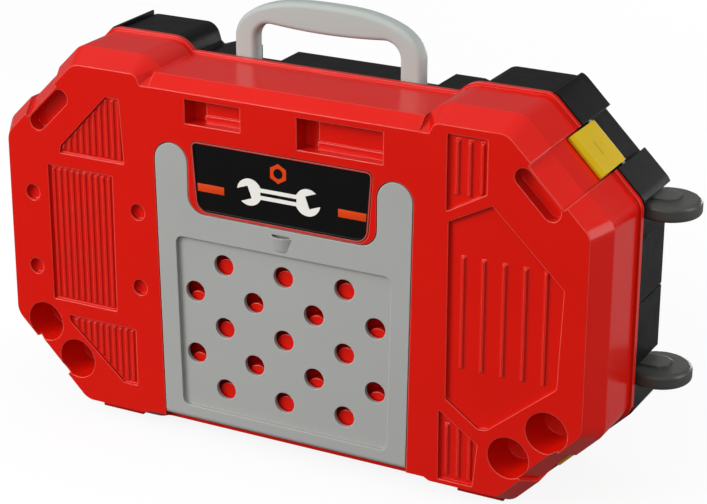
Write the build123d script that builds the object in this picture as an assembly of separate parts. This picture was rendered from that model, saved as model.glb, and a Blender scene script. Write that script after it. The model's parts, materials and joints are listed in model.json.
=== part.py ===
"""A toy workshop set shut up as an octagonal carry case, in millimetres.

X runs to the right, Y into the depth and Z up. The origin is the middle of the
base. The red front half carries a hinged pegboard and a name plate. The black
rear half carries the handle, four latches and four legs that fold into two
channels across the back.
"""
from build123d import *
import math
import os

os.makedirs("parts", exist_ok=True)

# Case
case_half_width = 219.0
case_height = 260.0
front_depth = 59.0
corner_leg = 61.0
corner_round = 12.0
wall = 2.5
overrun = 4.0
clearance = 0.4
seat_gap = 0.3

# Ramps between the high wings and the lower centre
centre_top_drop = 10.0
centre_bottom_rise = 5.0
ramp_foot_rim = 96.0
ramp_foot_front = 102.5
ramp_run_rim = 7.5
ramp_run_front = 3.5
ramp_round_rim = 19.0
ramp_round_front = 5.0
centre_front_inset = 8.0

# Front half skin
rim_lip_depth = 4.0
rim_lip_height = 2.0
bevel_inset = 9.0
bevel_depth = 16.0
front_wall = 6.0
pad_half_length = 16.0
pad_from_side = 84.0

# Tool board and its pocket
board_half_width = 92.3
board_foot_half_width = 89.3
board_bottom = 13.5
board_shoulder_drop = 65.0
board_thickness = 6.0
board_pocket_depth = 16.0
ear_radius = 12.0
ear_plate_gap = 3.2
panel_half_width = 78.3
panel_foot_half_width = 76.0
panel_bottom = 24.5
panel_top_drop = 115.5
panel_depth = 3.0
panel_round = 5.0
peg_hole_radius = 7.2
peg_pitch_share = 0.1833
peg_rows = (3, 4, 3, 4, 3)
socket_depth = 7.5
short_row_drop = 4.3
long_row_drop = 8.7
board_barrel_radius = 3.5
board_barrel_height = 18.0
board_pin_radius = 1.5
board_pin_length = 9.0
board_seat_width = 5.0
board_gap = 0.7
pull_half_width = 8.0
pull_height = 9.5
pull_stand = 3.0
pull_foot_stand = 1.0
pull_wall = 1.0
pull_rise = 3.0

# Name plate
plate_half_width = 65.0
plate_foot_half_width = 61.5
plate_top_drop = 49.0
plate_height = 47.5
plate_thickness = 2.0
plate_round = 4.0
plate_foot_round = 9.0

# Windows over the plate: left edge, right edge and height
window_top_drop = 22.0
window_depth = 13.0
window_floor_depth = 8.0
window_well_width = 11.7
window_step_height = 5.0
window_step_stand = 1.4
window_shares = ((-0.315, -0.130, 0.062), (0.055, 0.329, 0.080))

# Cups and slots at the corners: places along the corner face and in from it
cup_radius = 14.0
cup_depth = 22.0
cup_floor_radius = 10.0
cup_places = ((19.9, 25.0), (-13.6, 26.6))
slot_width = 12.0
slot_length = 38.0
slot_depth = 9.0
slot_inset = 20.5
small_hole_radius = 5.5
small_hole_depth = 4.0
small_hole_shares = ((-0.868, 0.597), (-0.489, 0.597), (-0.868, 0.393), (-0.489, 0.393))

# Ribbed fields of the wings, as shares of the half width and the height
left_field_depth = 2.2
left_rib_width = 3.3
left_rib_height = 1.2
right_field_depth = 2.6
right_rib_width = 3.6
right_rib_height = 1.5
rib_draft = 38.0
field_margin = 1.0
# Each field's outline, then its row of ribs: first and last place, foot and head
left_field_shares = {
    "upper": (((-0.590, 0.886), (-0.543, 0.886), (-0.532, 0.718), (-0.762, 0.718), (-0.757, 0.738)),
              (-0.751, -0.548, 0.724, 0.881)),
    "middle": (((-0.808, 0.681), (-0.575, 0.681), (-0.577, 0.312), (-0.808, 0.312)),
               (-0.792, -0.592, 0.318, 0.675)),
    "lower": (((-0.756, 0.273), (-0.511, 0.273), (-0.511, 0.115), (-0.562, 0.115), (-0.751, 0.254)),
              (-0.731, -0.528, 0.121, 0.267)),
}
right_field_shares = {
    "upper": (((0.524, 0.938), (0.524, 0.748), (0.645, 0.806), (0.645, 0.938)),
              (0.553, 0.628, 0.790, 0.927)),
    "middle": (((0.532, 0.724), (0.663, 0.781), (0.881, 0.607), (0.870, 0.357), (0.663, 0.213),
                (0.636, 0.210), (0.533, 0.271)), (0.576, 0.826, 0.354, 0.643)),
    "lower": (((0.512, 0.239), (0.513, 0.054), (0.622, 0.054), (0.635, 0.168)),
              (0.537, 0.609, 0.065, 0.205)),
}
left_rib_count = 10
right_upper_rib_count = 3
right_middle_rib_count = 5
right_lower_rib_count = 3

# Latches
latch_length = 31.0
latch_front_reach = 18.0
latch_rear_reach = 13.5
latch_thickness = 4.0
latch_front_bevel = 2.2
latch_side_gap = 1.4
latch_floor_gap = 0.4
latch_barrel_radius = 2.6
latch_barrel_setback = 23.5
latch_pin_radius = 1.2
latch_lug_length = 2.6
latch_slit_length = 10.0
latch_slit_width = 1.0

# Rear half
rear_inset = 2.0
cap_stand = 1.0
cap_lap = 1.0
tray_thickness = 2.4
rear_centre_drop = 14.0
rear_centre_half = 44.0
valley_drop = 22.0
valley_half = 50.0
bump_drop = 13.0
bump_start = 71.5
bump_end = 92.0
notch_drop = 16.0
notch_place = 101.0
rear_ramp_foot = 103.5
rear_ramp_run = 3.5
rear_ramp_round = 10.0
seam_width = 1.2
seam_depth = 1.0

# Legs and their channels
leg_thickness = 10.0
leg_rib_height = 1.5
leg_gap = 1.33
leg_half_width = 13.0
leg_rib_half_width = 9.0
leg_rib_end_half_width = 5.0
foot_radius = 21.0
foot_stand = 7.0
foot_round = 3.0
leg_pivot_inset = 24.0
leg_pin_radius = 3.0
leg_pin_boss = 12.0
leg_pin_head_radius = 5.5
channel_floor = 2.6

# Handle
handle_half_width = 67.4
handle_leg_width = 15.0
handle_rise = 32.0
crown_rise = 19.5
grip_height = 18.7
grip_bulge = 3.2
handle_thickness = 12.5
handle_pivot_drop = 18.5
handle_gap_to_rim = 1.0
handle_round = 3.4
handle_corner_round = 14.0
handle_inner_round = 11.0
handle_pin_radius = 2.5
handle_pin_reach = 4.0
handle_pocket_clear = 1.0

# Fits
pin_clearance = 0.05

# Worked out from the sizes above
root2 = math.sqrt(2.0)
rear_depth = 2 * foot_radius + clearance + channel_floor
case_depth = front_depth + rear_depth
y_front = (pull_stand - case_depth) / 2
y_part = y_front + front_depth
y_back = y_front + case_depth
mid_height = case_height / 2
centre_top = case_height - centre_top_drop
corner_start = case_half_width - corner_leg
channel_height = 2 * (leg_thickness + leg_rib_height) + 3 * leg_gap
channel_offset = mid_height - corner_leg - channel_height / 2
leg_y = y_back - foot_radius
leg_pivot_x = case_half_width - leg_pivot_inset
foot_centre_x = case_half_width + foot_stand
handle_y = y_part + handle_gap_to_rim + handle_thickness / 2
handle_pivot_z = case_height - handle_pivot_drop
pocket_floor = handle_pivot_z - handle_thickness / 2 - handle_pocket_clear
board_hinge_y = y_front + board_barrel_radius
board_shoulder = case_height - board_shoulder_drop
board_notch_bottom = case_height - plate_top_drop - plate_height - ear_plate_gap / 2
panel_top = case_height - panel_top_drop
latch_front = y_part - latch_front_reach
latch_back = y_part + latch_rear_reach
latch_channel_width = latch_length + 2 * latch_side_gap
latch_channel_depth = latch_thickness + latch_floor_gap


def front_plane(y):
    """A plane that faces the front, with local x along X and local y along Z."""
    return Plane(origin=(0, y, 0), x_dir=(1, 0, 0), z_dir=(0, -1, 0))


def corner_plane():
    """The upper right corner face: local x along it, y into the depth, z outwards."""
    middle = (case_half_width - corner_leg / 2, 0, case_height - corner_leg / 2)
    return Plane(origin=middle, x_dir=(1, 0, -1), z_dir=(1, 0, 1))


def prism(shape, y_start, y_end):
    """A flat shape, drawn as X and Z, carried from y_start to y_end."""
    return extrude(front_plane(y_end) * shape, y_end - y_start)


def slab(points, z_start, z_end):
    """A plan, drawn as X and Y, carried from z_start to z_end."""
    return extrude(Pos(0, 0, z_start) * polygon(points), z_end - z_start)


def polygon(points, radius=0.0, chosen=None):
    """A closed flat shape, with the chosen corners rounded."""
    shape = make_face(Polyline(*points, close=True).edges())
    if radius > 0:
        shape = fillet([v for v in shape.vertices() if chosen is None or chosen(v.X, v.Y)], radius)
    return shape


def block(x, y, z):
    """A box between two corners given as pairs."""
    size = (x[1] - x[0], y[1] - y[0], z[1] - z[0])
    middle = ((x[0] + x[1]) / 2, (y[0] + y[1]) / 2, (z[0] + z[1]) / 2)
    return Pos(*middle) * Box(*size)


def rod_y(x, z, radius, y_start, y_end):
    """A cylinder along Y."""
    return prism(Pos(x, z) * Circle(radius), y_start, y_end)


def rod_x(y, z, radius, x_start, x_end):
    """A cylinder along X."""
    length = x_end - x_start
    return Pos((x_start + x_end) / 2, y, z) * Rot(0, 90, 0) * Cylinder(radius, length)


def rod_z(x, y, radius, z_start, z_end):
    """A cylinder along Z."""
    return Pos(x, y, (z_start + z_end) / 2) * Cylinder(radius, z_end - z_start)


def case_outline(inset, top=(), bottom=(), head_round=0.0):
    """The octagon of the case, moved inwards, with its own top and bottom profiles if any."""
    side = case_half_width - inset
    turn = inset * (root2 - 1)
    reach = corner_start - turn
    high_corner = case_height - corner_leg - turn
    low_corner = corner_leg + turn
    octagon = [(reach, case_height - inset), (side, high_corner), (side, low_corner), (reach, inset)]
    points = [*top, *octagon, *reversed(bottom)]
    shape = polygon(points + [(-x, z) for x, z in reversed(points)])
    heads = [profile[-1] for profile in (top, bottom) if profile]
    chosen = [v for v in shape.vertices()
              if any(abs(abs(v.X) - x) < seat_gap and abs(v.Y - z) < seat_gap for x, z in heads)]
    if chosen:
        shape = fillet(chosen, head_round)
    return fillet([v for v in shape.vertices() if abs(v.X) > reach - clearance], corner_round)


def wall_outline(inset):
    """The outline of a side wall that stands inset from the rim."""
    head = ramp_foot_rim + ramp_run_rim
    low_step = centre_bottom_rise + inset - rim_lip_height
    high_step = centre_top - inset + rim_lip_height
    return case_outline(inset, [(ramp_foot_rim, high_step), (head, case_height - inset)],
                        [(ramp_foot_rim, low_step), (head, inset)], ramp_round_rim)


def face_outline():
    """The outline of the front face, inside the bevel."""
    inset = rim_lip_height + bevel_inset
    head = ramp_foot_front + ramp_run_front
    top = [(ramp_foot_front, centre_top - centre_front_inset), (head, case_height - inset)]
    bottom = [(ramp_foot_front, centre_bottom_rise + centre_front_inset), (head, inset)]
    return case_outline(inset, top, bottom, ramp_round_front)


corners = {"upper_right": (1, 1), "upper_left": (-1, 1), "lower_right": (1, -1), "lower_left": (-1, -1)}


def at_corner(shape, side, level):
    """A shape made at the upper right corner, mirrored to another corner."""
    if side < 0:
        shape = mirror(shape, about=Plane.YZ)
    if level < 0:
        shape = mirror(shape, about=Plane.XY.offset(mid_height))
    return shape


def corner_box(half_u, y, w):
    """A box in the upper right corner's own directions."""
    return corner_plane() * block((-half_u, half_u), y, w)


def corner_place(along, inset, side, level):
    """The X and Z of a place given along a corner face and in from it."""
    x = case_half_width - corner_leg / 2 + (along - inset) / root2
    z = case_height - corner_leg / 2 - (along + inset) / root2
    return side * x, z if level > 0 else case_height - z


def latch_channel(spread, lift):
    """The channel across the upper right corner face, which follows the bevel at the front."""
    drop = latch_channel_depth + spread
    y_out = y_front - overrun
    slope = bevel_inset / bevel_depth
    profile = [(y_part + overrun, -drop), (y_front + bevel_depth, -drop),
               (y_out, -drop - slope * (bevel_depth + overrun)), (y_out, lift), (y_part + overrun, lift)]
    half = latch_channel_width / 2 + spread
    return corner_plane() * extrude(Plane.YZ * polygon(profile), half, both=True)


def from_shares(shares):
    """Places on the face from shares of the half width and the height."""
    return [(x * case_half_width, z * case_height) for x, z in shares]


def face_rib(x, low, high, width, height, floor):
    """An upright rib with sloped sides and ends, standing on a sunk floor."""
    foot = Pos(x, (low + high) / 2) * Rectangle(width, high - low)
    return extrude(front_plane(floor) * foot, height, taper=rib_draft)


def field(shares, count, depth, rib_width, rib_height):
    """A sunk field with upright ribs on its floor: what is cut from the wing."""
    points = from_shares(shares[0])
    first, last, low, high = shares[1]
    floor = y_front + depth
    inner = prism(offset(polygon(points), -field_margin), y_front, floor)
    low, high = low * case_height, high * case_height
    ribs = []
    for i in range(count):
        x = case_half_width * (first + (last - first) * i / (count - 1))
        ribs.append(face_rib(x, low, high, rib_width, rib_height, floor) & inner)
    return prism(polygon(points, clearance * 2), y_front - overrun, floor) - ribs


def board_outline(spread):
    """The tool board's outline: two round-topped ears beside a notch for the plate."""
    foot = board_bottom - spread
    low = board_foot_half_width + spread
    side = board_half_width + spread
    outline = polygon([(-low, foot), (low, foot), (side, board_shoulder), (-side, board_shoulder)])
    ear_x = board_half_width - ear_radius
    for x in (-ear_x, ear_x):
        outline += Pos(x, board_shoulder) * Circle(ear_radius + spread)
    inner = ear_x - ear_radius - spread
    edge = board_notch_bottom + spread
    notch = polygon([(-inner, edge), (inner, edge), (inner, case_height), (-inner, case_height)],
                    plate_foot_round + ear_plate_gap - spread, lambda x, z: z < board_shoulder)
    return outline - notch


def name_plate_outline(spread):
    """The plate's outline, narrower at the foot and rounder there."""
    plate_top = case_height - plate_top_drop
    top = plate_top + spread
    foot = plate_top - plate_height - spread
    points = [(-plate_half_width - spread, top), (plate_half_width + spread, top),
              (plate_foot_half_width + spread, foot), (-plate_foot_half_width - spread, foot)]
    shape = polygon(points, plate_foot_round, lambda x, z: z < plate_top)
    return fillet([v for v in shape.vertices() if v.Y > plate_top - plate_round], plate_round)


def slot_outline(side, spread):
    """The oblong slot beside an upper corner."""
    shape = SlotOverall(slot_length + 2 * spread, slot_width + 2 * spread)
    return Pos(*corner_place(0, slot_inset, side, 1)) * Rot(0, 0, -side * 45) * shape


def peg_holes(drops=None):
    """The places of the peg holes, in rows half a pitch apart, or of what lies lower behind each row."""
    pitch = peg_pitch_share * (panel_top - panel_bottom)
    middle = (panel_top + panel_bottom) / 2
    places = []
    for row, count in enumerate(peg_rows):
        z = middle + pitch * (len(peg_rows) // 2 - row) - (drops[count] if drops else 0)
        places += [(pitch * (2 * i - count + 1), z) for i in range(count)]
    return places


def window(left, right, high):
    """A window over the plate: a deep well beside a shallow floor with a low step."""
    low, end = left * case_half_width, right * case_half_width
    top = case_height - window_top_drop
    foot = top - high * case_height
    floor = y_front + window_floor_depth
    y_out = y_front - overrun
    split = low + window_well_width
    shallow = block((low, end), (y_out, floor), (foot, top))
    shallow -= block((split, end), (floor - window_step_stand, floor), (foot, foot + window_step_height))
    return shallow + block((low, split), (y_out, y_front + window_depth), (foot, top))


def make_front_shell():
    """The red front half, open at the back."""
    y_bevel = y_front + bevel_depth
    outer = wall_outline(rim_lip_height)
    skin = loft([front_plane(y_front) * face_outline(), front_plane(y_bevel) * outer], ruled=True)
    skin += prism(outer, y_bevel, y_part)
    skin += prism(wall_outline(0), y_part - rim_lip_depth, y_part)
    centre = block((-ramp_foot_rim, ramp_foot_rim), (y_front, y_part), (mid_height, centre_top))
    edge = centre.edges().filter_by(Axis.X).group_by(Axis.Y)[0].sort_by(Axis.Z)[-1]
    skin += chamfer(edge, centre_front_inset)
    for side in (-1, 1):
        x = side * (case_half_width - pad_from_side)
        skin += block((x - pad_half_length, x + pad_half_length), (y_bevel, y_part), (0, 2 * rim_lip_height))

    # The hollow behind the skin, less the walls round what is sunk into the face
    hollow = prism(wall_outline(rim_lip_height + wall), y_bevel + wall, y_part + overrun)
    hollow += prism(wall_outline(bevel_inset + 2 * wall), y_front + front_wall, y_bevel + wall)
    keep = [at_corner(latch_channel(wall, overrun), s, l) for s, l in corners.values()]
    for s in (-1, 1):
        for along, inset in cup_places:
            keep.append(rod_y(*corner_place(along, inset, s, -1), cup_radius + wall, y_front,
                              y_front + cup_depth + wall))
        keep.append(prism(slot_outline(s, wall), y_front, y_front + slot_depth + wall))
    for left, right, high in window_shares:
        top = case_height - window_top_drop
        keep.append(block((left * case_half_width - wall, right * case_half_width + wall),
                          (y_front, y_front + window_depth + wall),
                          (top - high * case_height - wall, top + wall)))
    keep.append(prism(board_outline(board_gap + wall), y_front, y_front + board_pocket_depth + wall))
    skin -= hollow - keep

    # What is sunk into the face
    y_out = y_front - overrun
    skin -= [at_corner(latch_channel(0, case_height), s, l) for s, l in corners.values()]
    skin -= prism(board_outline(board_gap), y_out, y_front + board_thickness + seat_gap)
    skin -= prism(board_outline(-board_seat_width), y_out, y_front + board_pocket_depth)
    barrel_room = board_foot_half_width + board_gap
    skin -= block((-barrel_room, barrel_room), (y_out, y_front + 2 * board_barrel_radius + clearance),
                  (0, panel_bottom))
    skin -= prism(name_plate_outline(clearance), y_out, y_front + plate_thickness)
    skin -= [window(*shares) for shares in window_shares]
    skin -= [field(shares, left_rib_count, left_field_depth, left_rib_width, left_rib_height)
             for shares in left_field_shares.values()]
    right_counts = (right_upper_rib_count, right_middle_rib_count, right_lower_rib_count)
    skin -= [field(shares, count, right_field_depth, right_rib_width, right_rib_height)
             for shares, count in zip(right_field_shares.values(), right_counts)]
    for s in (-1, 1):
        for along, inset in cup_places:
            place = Pos(*corner_place(along, inset, s, -1))
            skin -= loft([front_plane(y_front + cup_depth) * place * Circle(cup_floor_radius),
                          front_plane(y_front - clearance) * place * Circle(cup_radius)])
        skin -= prism(slot_outline(s, 0), y_out, y_front + slot_depth)
        skin -= make_board_pin(s)
    skin -= [rod_y(x, z, small_hole_radius, y_out, y_front + small_hole_depth)
             for x, z in from_shares(small_hole_shares)]

    # Posts behind the peg holes, lower than the holes so that a peg's tip finds room above them
    skin += [rod_y(x, z, peg_hole_radius, y_front + socket_depth, y_front + board_pocket_depth + wall / 2)
             for x, z in peg_holes({min(peg_rows): short_row_drop, max(peg_rows): long_row_drop})]
    return skin


def finger_pull(inset):
    """A cone that bulges from the board as a finger pull, or, set inwards, the hollow in it."""
    head = (pull_half_width ** 2 + pull_stand ** 2) / (2 * pull_stand)
    axis = head - pull_stand
    low = panel_top + pull_rise + inset
    cone = Cone(axis + pull_foot_stand - inset, head - inset, pull_height)
    return Pos(0, y_front + axis, low + pull_height / 2) * cone


def make_tool_board():
    """The grey pegboard that swings down about its bottom edge."""
    y_rear = y_front + board_thickness
    board = prism(board_outline(0), y_front, y_rear)
    board -= block((-case_half_width, case_half_width), (y_front - overrun, y_rear + overrun),
                   (0, board_barrel_height))
    board += rod_x(board_hinge_y, board_barrel_height, board_barrel_radius, -board_foot_half_width,
                   board_foot_half_width)
    panel = polygon([(-panel_foot_half_width, panel_bottom), (panel_foot_half_width, panel_bottom),
                     (panel_half_width, panel_top), (-panel_half_width, panel_top)], panel_round)
    board -= prism(panel, y_front - overrun, y_front + panel_depth)
    board -= [rod_y(x, z, peg_hole_radius, y_front, y_rear + overrun) for x, z in peg_holes()]
    pull_room = block((-case_half_width, case_half_width), (y_front - overrun, y_front + panel_depth),
                      (panel_top, board_shoulder))
    board += finger_pull(0) & pull_room
    board -= finger_pull(pull_wall) & pull_room
    board -= rod_x(board_hinge_y, board_barrel_height, board_pin_radius + pin_clearance,
                   -case_half_width, case_half_width)
    return board


def make_board_pin(side):
    """A short pin that carries one end of the tool board in the front half."""
    inner = side * (board_foot_half_width - board_pin_length)
    outer = side * (board_foot_half_width + board_pin_length)
    return rod_x(board_hinge_y, board_barrel_height, board_pin_radius, min(inner, outer), max(inner, outer))


def make_name_plate():
    """The bare black plate between the ears, with a raised edge."""
    plate = prism(name_plate_outline(0), y_front, y_front + plate_thickness)
    inner = offset(name_plate_outline(0), -plate_thickness)
    return plate - prism(inner, y_front - overrun, y_front + plate_thickness / 4)


def channel_middle(level):
    """The height of the middle of the upper or lower leg channel."""
    return mid_height + level * channel_offset


def handle_pocket(side):
    """The space round one foot of the handle, which runs out over the valley behind it."""
    inner = handle_half_width - handle_leg_width - handle_pocket_clear
    outer = handle_half_width + handle_pocket_clear
    deep = block((inner, outer), (y_part - overrun, handle_y + handle_thickness),
                 (pocket_floor, case_height))
    swing = block((inner, outer), (y_part - overrun, y_back + overrun),
                  (case_height - valley_drop, case_height))
    return deep + swing if side > 0 else mirror(deep + swing, about=Plane.YZ)


def rear_outline():
    """The outline of the rear half, with its valleys, bumps and wing blocks on top."""
    top = [(rear_centre_half, case_height - rear_centre_drop), (valley_half, case_height - valley_drop),
           (bump_start, case_height - valley_drop), (bump_start, case_height - bump_drop),
           (bump_end, case_height - bump_drop), (notch_place, case_height - notch_drop),
           (rear_ramp_foot, case_height - rear_centre_drop),
           (rear_ramp_foot + rear_ramp_run, case_height - rear_inset)]
    bottom = [(ramp_foot_rim, centre_bottom_rise + rear_inset), (ramp_foot_rim + ramp_run_rim, rear_inset)]
    return case_outline(rear_inset, top, bottom, rear_ramp_round)


def make_rear_half():
    """The black rear half in one piece, before it is split at the middle."""
    body = prism(rear_outline(), y_part, y_back)
    low = pocket_floor - wall
    cap = case_outline(-cap_stand)
    cap_start = corner_start - cap_lap
    for side in (-1, 1):
        for level in (-1, 1):
            low_z, high_z = sorted((mid_height + level * (mid_height - corner_leg - cap_lap),
                                    mid_height + level * mid_height))
            near, far = sorted((side * cap_start, side * (case_half_width + overrun)))
            frame = Pos((near + far) / 2, (low_z + high_z) / 2) * Rectangle(far - near, high_z - low_z)
            body += prism(cap & frame, y_part, y_back)

    # Walls that carry the handle's pins, hidden behind the front half's rim
    for side in (-1, 1):
        near, far = sorted((side * (rear_centre_half - overrun),
                            side * (handle_half_width - handle_leg_width - handle_pocket_clear)))
        body += block((near, far), (y_part, handle_y + handle_pin_radius + wall),
                      (low, case_height - rear_centre_drop))

    # Hollows from the front, between the walls of the leg channels
    half_channel = channel_height / 2
    hollow_shape = case_outline(rear_inset + wall, [(ramp_foot_rim, low), (ramp_foot_rim + ramp_run_rim,
                                case_height - rear_inset - wall)],
                                [(ramp_foot_rim, centre_bottom_rise + rear_inset + wall),
                                 (ramp_foot_rim + ramp_run_rim, rear_inset + wall)], wall)
    hollow_shape -= [Pos(0, channel_middle(level)) * Rectangle(
        2 * case_half_width, channel_height + 2 * wall) for level in (-1, 1)]
    hollow_shape -= Pos(0, mid_height) * Rectangle(2 * case_half_width, 2 * wall)
    hollow = prism(hollow_shape, y_part - overrun, y_back - wall)
    keep = [at_corner(corner_box(latch_channel_width / 2 + wall, (y_part, y_back),
                                 (-latch_barrel_setback, overrun)), s, l) for s, l in corners.values()]
    notch_room = block((notch_place - overrun, rear_ramp_foot + ramp_run_rim + wall), (y_part, y_back),
                       (low, case_height))
    keep += [notch_room, mirror(notch_room, about=Plane.YZ)]
    keep += [leg_boss(leg) for leg in legs]
    body -= hollow - keep

    # Channels for the legs, open at the back and at both sides
    for level in (-1, 1):
        z = channel_middle(level)
        body -= block((-case_half_width - overrun, case_half_width + overrun),
                      (leg_y - foot_radius - clearance, y_back + overrun),
                      (z - half_channel, z + half_channel))
    body -= [leg_pin_solid(leg) for leg in legs]

    # Recessed bands and seats of the latches
    band = corner_box(latch_channel_width / 2, (y_part - overrun, y_back + overrun),
                      (-rear_inset - cap_stand, case_height))
    seat = corner_box(latch_channel_width / 2, (y_part - overrun, latch_back + latch_barrel_radius * 2),
                      (-latch_channel_depth - latch_barrel_radius, case_height))
    pin = latch_rod(latch_pin_radius, latch_channel_width / 2 + latch_lug_length)
    body -= [at_corner(band + seat + pin, s, l) for s, l in corners.values()]

    # Pockets and pin holes of the handle, and the groove where the two rear halves meet
    for side in (-1, 1):
        body -= handle_pocket(side)
        body -= handle_pin_solid(side)
        near, far = sorted((side * (case_half_width - rear_inset - seam_depth),
                            side * (case_half_width + overrun)))
        body -= block((near, far), (y_part - overrun, y_back + overrun),
                      (mid_height - seam_width / 2, mid_height + seam_width / 2))
    return body


legs = {"leg_upper_left": (1, 1), "leg_upper_right": (1, -1), "leg_lower_left": (-1, 1),
        "leg_lower_right": (-1, -1)}


def place_leg(shape, leg):
    """A shape made for a leg in the upper channel's top layer, put in another place."""
    level, turn = legs[leg]
    if turn < 0:
        shape = Pos(0, 0, channel_middle(1)) * Rot(0, 180, 0) * Pos(0, 0, -channel_middle(1)) * shape
    if level < 0:
        shape = Pos(0, 0, -2 * channel_offset) * shape
    return shape


leg_top = channel_middle(1) + channel_height / 2 - leg_gap
leg_face = leg_top - leg_rib_height
leg_foot = leg_face - leg_thickness


def leg_pin_solid(leg):
    """The pin that carries one leg from a wall of its channel, without its head."""
    pin = rod_z(-leg_pivot_x, leg_y, leg_pin_radius, leg_foot, leg_top + leg_gap + leg_pin_boss)
    return place_leg(pin, leg)


def leg_boss(leg):
    """The boss in the rear half that holds a leg's pin."""
    boss = rod_z(-leg_pivot_x, leg_y, leg_pin_radius + 2 * wall, leg_top, leg_top + leg_pin_boss + 2 * wall)
    return place_leg(boss, leg)


def make_leg_pin(leg):
    """A leg's pin with its flat head."""
    head_height = leg_gap - clearance
    head = rod_z(-leg_pivot_x, leg_y, leg_pin_head_radius, leg_foot - head_height, leg_foot)
    return leg_pin_solid(leg) + place_leg(head, leg)


def make_leg(leg):
    """A flat leg with a round knuckle at its pivot and a broad round foot."""
    near, far = leg_y - leg_half_width, leg_y + leg_half_width
    arm = block((-leg_pivot_x, foot_centre_x), (near, far), (leg_foot, leg_face))
    arm += rod_z(-leg_pivot_x, leg_y, leg_half_width, leg_foot, leg_face)
    foot = rod_z(foot_centre_x, leg_y, foot_radius, leg_foot, leg_face)
    arm += fillet(foot.edges().filter_by(GeomType.CIRCLE), foot_round)
    tip = foot_centre_x + foot_stand
    shoulder = tip - leg_rib_end_half_width
    rib_half = leg_rib_half_width
    rib = slab([(-leg_pivot_x, leg_y - rib_half), (shoulder, leg_y - rib_half),
                (tip, leg_y - leg_rib_end_half_width), (tip, leg_y + leg_rib_end_half_width),
                (shoulder, leg_y + rib_half), (-leg_pivot_x, leg_y + rib_half)],
               leg_face - clearance, leg_top)
    arm += rib
    arm -= block((-leg_pivot_x + foot_radius, foot_centre_x - 2 * foot_radius), (near + wall, far - wall),
                 (leg_foot - overrun, leg_face - wall))
    arm -= rod_z(-leg_pivot_x, leg_y, leg_pin_radius + pin_clearance, leg_foot - overrun, leg_top + overrun)
    return place_leg(arm, leg)


def handle_pin_solid(side):
    """The pin through one foot of the handle."""
    reach = handle_pocket_clear + handle_pin_reach
    inner = handle_half_width - handle_leg_width - reach
    outer = handle_half_width + reach
    pin = rod_x(handle_y, handle_pivot_z, handle_pin_radius, inner, outer)
    return pin if side > 0 else mirror(pin, about=Plane.YZ)


def make_handle():
    """The carrying handle: two feet and a fat crowned grip."""
    top = case_height + handle_rise
    foot = handle_pivot_z

    def loop(half, end_z, rise, low, corner):
        """An inverted U whose head is a shallow arc."""
        arc = ThreePointArc((-half, end_z), (0, end_z + rise), (half, end_z))
        rest = Polyline((half, end_z), (half, low), (-half, low), (-half, end_z))
        shape = make_face(arc.edges() + rest.edges())
        return fillet([v for v in shape.vertices() if v.Y > low + clearance], corner)

    outer = loop(handle_half_width, top - crown_rise, crown_rise, foot, handle_corner_round)
    under = top - grip_height
    opening = loop(handle_half_width - handle_leg_width, under + grip_bulge, -grip_bulge, 0,
                   handle_inner_round)
    y_near = handle_y - handle_thickness / 2
    handle = prism(outer - opening, y_near, y_near + handle_thickness)
    rim = [e for e in handle.edges()
           if e.bounding_box().size.Y < clearance and e.center().Z > foot + clearance]
    handle = fillet(rim, handle_round)
    for side in (-1, 1):
        centre = side * (handle_half_width - handle_leg_width / 2)
        handle += rod_x(handle_y, foot, handle_thickness / 2, centre - handle_leg_width / 2,
                        centre + handle_leg_width / 2)
        handle -= rod_x(handle_y, foot, handle_pin_radius + pin_clearance, centre - handle_leg_width,
                        centre + handle_leg_width)
    return handle


def latch_rod(radius, half):
    """A cylinder about the hinge line of the upper right latch."""
    return corner_plane() * Pos(0, latch_back + latch_barrel_radius, -latch_barrel_radius) * Rot(
        0, 90, 0) * Cylinder(radius, 2 * half)


def make_latch():
    """A yellow latch plate with a bevelled front and a barrel at its rear end."""
    half = latch_length / 2
    profile = [(latch_back + latch_barrel_radius, 0), (latch_front + latch_front_bevel, 0),
               (latch_front, -latch_front_bevel), (latch_front, -latch_thickness),
               (latch_back, -latch_thickness), (latch_back + latch_barrel_radius, -latch_barrel_radius)]
    latch = corner_plane() * extrude(Plane.YZ * polygon(profile), half, both=True)
    latch += latch_rod(latch_barrel_radius, half)
    middle = (latch_front + latch_back) / 2
    latch -= corner_box(latch_slit_length / 2, (middle, middle + latch_slit_width),
                        (-latch_slit_width, overrun))
    return latch - latch_rod(latch_pin_radius + pin_clearance, latch_length)


def make_tray():
    """The flat board between the halves."""
    board = prism(wall_outline(rim_lip_height + wall + clearance), y_part - tray_thickness, y_part)
    notch = corner_box(latch_channel_width / 2 + wall + clearance, (y_front, y_back),
                       (-latch_channel_depth - wall - clearance, case_height))
    return board - [at_corner(notch, s, l) for s, l in corners.values()]


rear = make_rear_half()
reach_all = 2 * case_half_width
upper_half = block((-reach_all, reach_all), (y_front, y_back + overrun), (mid_height, 2 * case_height))
lower_half = block((-reach_all, reach_all), (y_front, y_back + overrun), (-case_height, mid_height))
nodes = {
    "front_shell": make_front_shell(),
    "tool_board": make_tool_board(),
    "board_pin_left": make_board_pin(-1),
    "board_pin_right": make_board_pin(1),
    "name_plate": make_name_plate(),
    "rear_upper_shell": rear & upper_half,
    "rear_lower_shell": rear & lower_half,
    "inner_tray": make_tray(),
    "handle": make_handle(),
    "handle_pin_left": handle_pin_solid(-1),
    "handle_pin_right": handle_pin_solid(1),
}
for name, (side, level) in corners.items():
    nodes["latch_" + name] = at_corner(make_latch(), side, level)
    nodes["latch_pin_" + name] = at_corner(
        latch_rod(latch_pin_radius, latch_channel_width / 2 + latch_lug_length), side, level)
for leg in legs:
    nodes[leg] = make_leg(leg)
    nodes[leg + "_pin"] = make_leg_pin(leg)

for name, solid in nodes.items():
    export_step(solid, "parts/" + name + ".step")
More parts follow.
